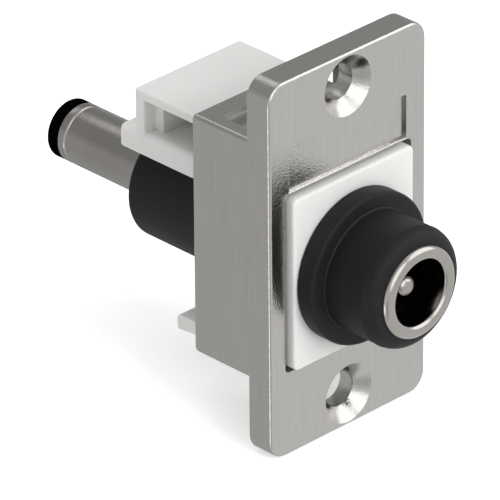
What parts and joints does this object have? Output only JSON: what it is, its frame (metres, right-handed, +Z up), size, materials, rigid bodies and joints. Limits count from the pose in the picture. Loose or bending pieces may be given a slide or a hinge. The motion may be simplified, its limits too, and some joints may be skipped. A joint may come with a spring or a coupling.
{
  "type": "dc keystone module",
  "caption": "DC power coupler in a keystone insert with a latch lever, held in a die-cast panel frame: barrel jack at the front, straight barrel plug at the rear.",
  "frame": {"origin": "centre of the flange's rear face, midway between the two screw holes", "axes": "-Y towards the user and the jack's mouth, +Y behind the panel along the coupler, +Z up through the two screw holes towards the latch lever, +X to the right seen from the front"},
  "size_m": [0.0188, 0.0434, 0.036],
  "materials": {
    "cast_frame": "satin nickel plate on a zinc die-casting",
    "white_moulding": "satin",
    "black_overmould": "matte",
    "plated_brass": "bright nickel plate on turned brass",
    "black_liner": "satin",
    "spring_bronze": "rolled strip",
    "copper_link": "drawn wire",
    "inner_resin": "matte"
  },
  "bodies": {
    "root": {"mounting_frame": "cast_frame", "keystone_insert": "white_moulding", "coupler_overmould": "black_overmould", "jack_shell": "plated_brass", "jack_insulator": "black_liner", "jack_centre_pin": "plated_brass", "jack_sleeve_spring": "spring_bronze", "plug_barrel": "plated_brass", "plug_insulator": "black_liner", "plug_centre_contact": "spring_bronze", "plug_sleeve_terminal": "plated_brass", "centre_link": "copper_link", "sleeve_link": "copper_link", "inner_mould": "inner_resin"}
  },
  "joints": []
}
